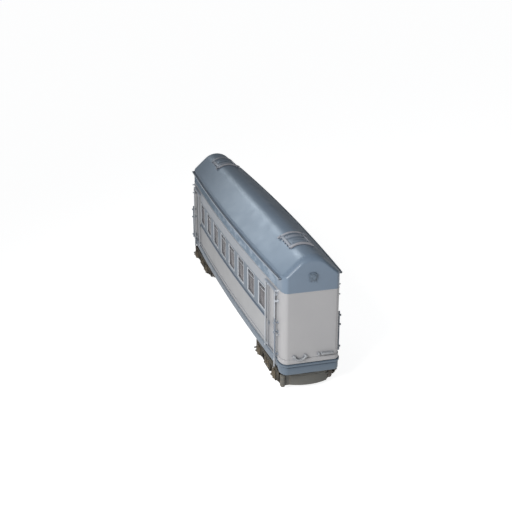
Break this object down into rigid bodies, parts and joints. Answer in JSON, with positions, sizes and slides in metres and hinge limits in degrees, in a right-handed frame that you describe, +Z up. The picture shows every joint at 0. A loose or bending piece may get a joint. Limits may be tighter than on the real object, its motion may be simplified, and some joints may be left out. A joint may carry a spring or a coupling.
{
  "type": "model passenger coach",
  "caption": "Model railway passenger coach with bowed sides, a row of side windows, a turtle-back roof with crown hatches, grab rails at the corner doors, and swivelling bogies.",
  "frame": {"origin": "middle of the coach on the line of the wheel flange bottoms", "axes": "+X towards the front end, +Y to the left side, +Z up"},
  "size_m": [0.2742, 0.051, 0.099],
  "materials": {
    "floor_plastic": "matt dark grey",
    "stripe_paint": "satin blue-grey paint",
    "ballast_steel": "mill finish",
    "seat_plastic": "matt brown",
    "screw_steel": "plain",
    "side_paint": "satin cream paint with blue-grey bands",
    "end_paint": "satin cream paint",
    "frame_paint": "satin pale grey paint",
    "glazing": "clear styrene, slightly smoky",
    "line_paint": "satin dark blue paint",
    "door_paint": "satin cream paint",
    "rail_wire": "painted brass wire",
    "roof_paint": "satin blue-grey paint",
    "gutter_paint": "satin blue-grey paint, pale along the edge",
    "hatch_paint": "satin blue-grey paint, grimy in the corners",
    "handle_wire": "painted brass wire",
    "bogie_plastic": "matt brown-grey, dusty",
    "axlebox_plastic": "matt brown-grey, dusty",
    "guard_plastic": "matt warm grey",
    "axle_steel": "plain",
    "wheel_metal": "blackened, bright on the tread"
  },
  "bodies": {
    "coach": {"floor": "floor_plastic", "left_sill": "stripe_paint", "right_sill": "stripe_paint", "front_beam": "stripe_paint", "rear_beam": "stripe_paint", "ballast_weight": "ballast_steel", "seats": "seat_plastic", "body_screws": "screw_steel", "left_side": "side_paint", "right_side": "side_paint", "front_end": "end_paint", "rear_end": "end_paint", "left_window_frames": "frame_paint", "right_window_frames": "frame_paint", "left_glazing": "glazing", "right_glazing": "glazing", "left_belt_rail": "line_paint", "right_belt_rail": "line_paint", "left_doors": "door_paint", "right_doors": "door_paint", "door_handles": "rail_wire", "door_hoods": "line_paint", "door_posts": "rail_wire", "corner_grab_rails": "rail_wire", "corner_brackets": "rail_wire", "roof": "roof_paint", "left_gutter": "gutter_paint", "right_gutter": "gutter_paint", "front_hatch_frame": "hatch_paint", "front_hatch_lid": "hatch_paint", "rear_hatch_frame": "hatch_paint", "rear_hatch_lid": "hatch_paint", "front_lamp": "stripe_paint", "rear_lamp": "stripe_paint", "front_handles": "handle_wire", "rear_handles": "handle_wire", "front_pivot_screw": "screw_steel", "rear_pivot_screw": "screw_steel"},
    "front_bogie": {"front_bogie_frame": "bogie_plastic", "front_side_frames": "bogie_plastic", "front_axleboxes": "axlebox_plastic", "front_springs": "axlebox_plastic", "front_brake_gear": "bogie_plastic", "front_end_guard": "guard_plastic"},
    "front_outer_wheelset": {"front_outer_axle": "axle_steel", "front_outer_wheels": "wheel_metal"},
    "front_inner_wheelset": {"front_inner_axle": "axle_steel", "front_inner_wheels": "wheel_metal"},
    "rear_bogie": {"rear_bogie_frame": "bogie_plastic", "rear_side_frames": "bogie_plastic", "rear_axleboxes": "axlebox_plastic", "rear_springs": "axlebox_plastic", "rear_brake_gear": "bogie_plastic", "rear_end_guard": "guard_plastic"},
    "rear_outer_wheelset": {"rear_outer_axle": "axle_steel", "rear_outer_wheels": "wheel_metal"},
    "rear_inner_wheelset": {"rear_inner_axle": "axle_steel", "rear_inner_wheels": "wheel_metal"}
  },
  "joints": [
    {"name": "front_bogie_swivel", "type": "hinge", "parent": "coach", "child": "front_bogie", "pos_m": [0.101, 0, 0.0117], "axis": [0, 0, 1], "range_deg": [-8, 8]},
    {"name": "front_outer_axle_spin", "type": "hinge", "parent": "front_bogie", "child": "front_outer_wheelset", "pos_m": [0.12, 0, 0.0084], "axis": [0, 1, 0], "continuous": true},
    {"name": "front_inner_axle_spin", "type": "hinge", "parent": "front_bogie", "child": "front_inner_wheelset", "pos_m": [0.082, 0, 0.0084], "axis": [0, 1, 0], "continuous": true},
    {"name": "rear_bogie_swivel", "type": "hinge", "parent": "coach", "child": "rear_bogie", "pos_m": [-0.101, 0, 0.0117], "axis": [0, 0, 1], "range_deg": [-8, 8]},
    {"name": "rear_outer_axle_spin", "type": "hinge", "parent": "rear_bogie", "child": "rear_outer_wheelset", "pos_m": [-0.12, 0, 0.0084], "axis": [0, 1, 0], "continuous": true},
    {"name": "rear_inner_axle_spin", "type": "hinge", "parent": "rear_bogie", "child": "rear_inner_wheelset", "pos_m": [-0.082, 0, 0.0084], "axis": [0, 1, 0], "continuous": true}
  ]
}
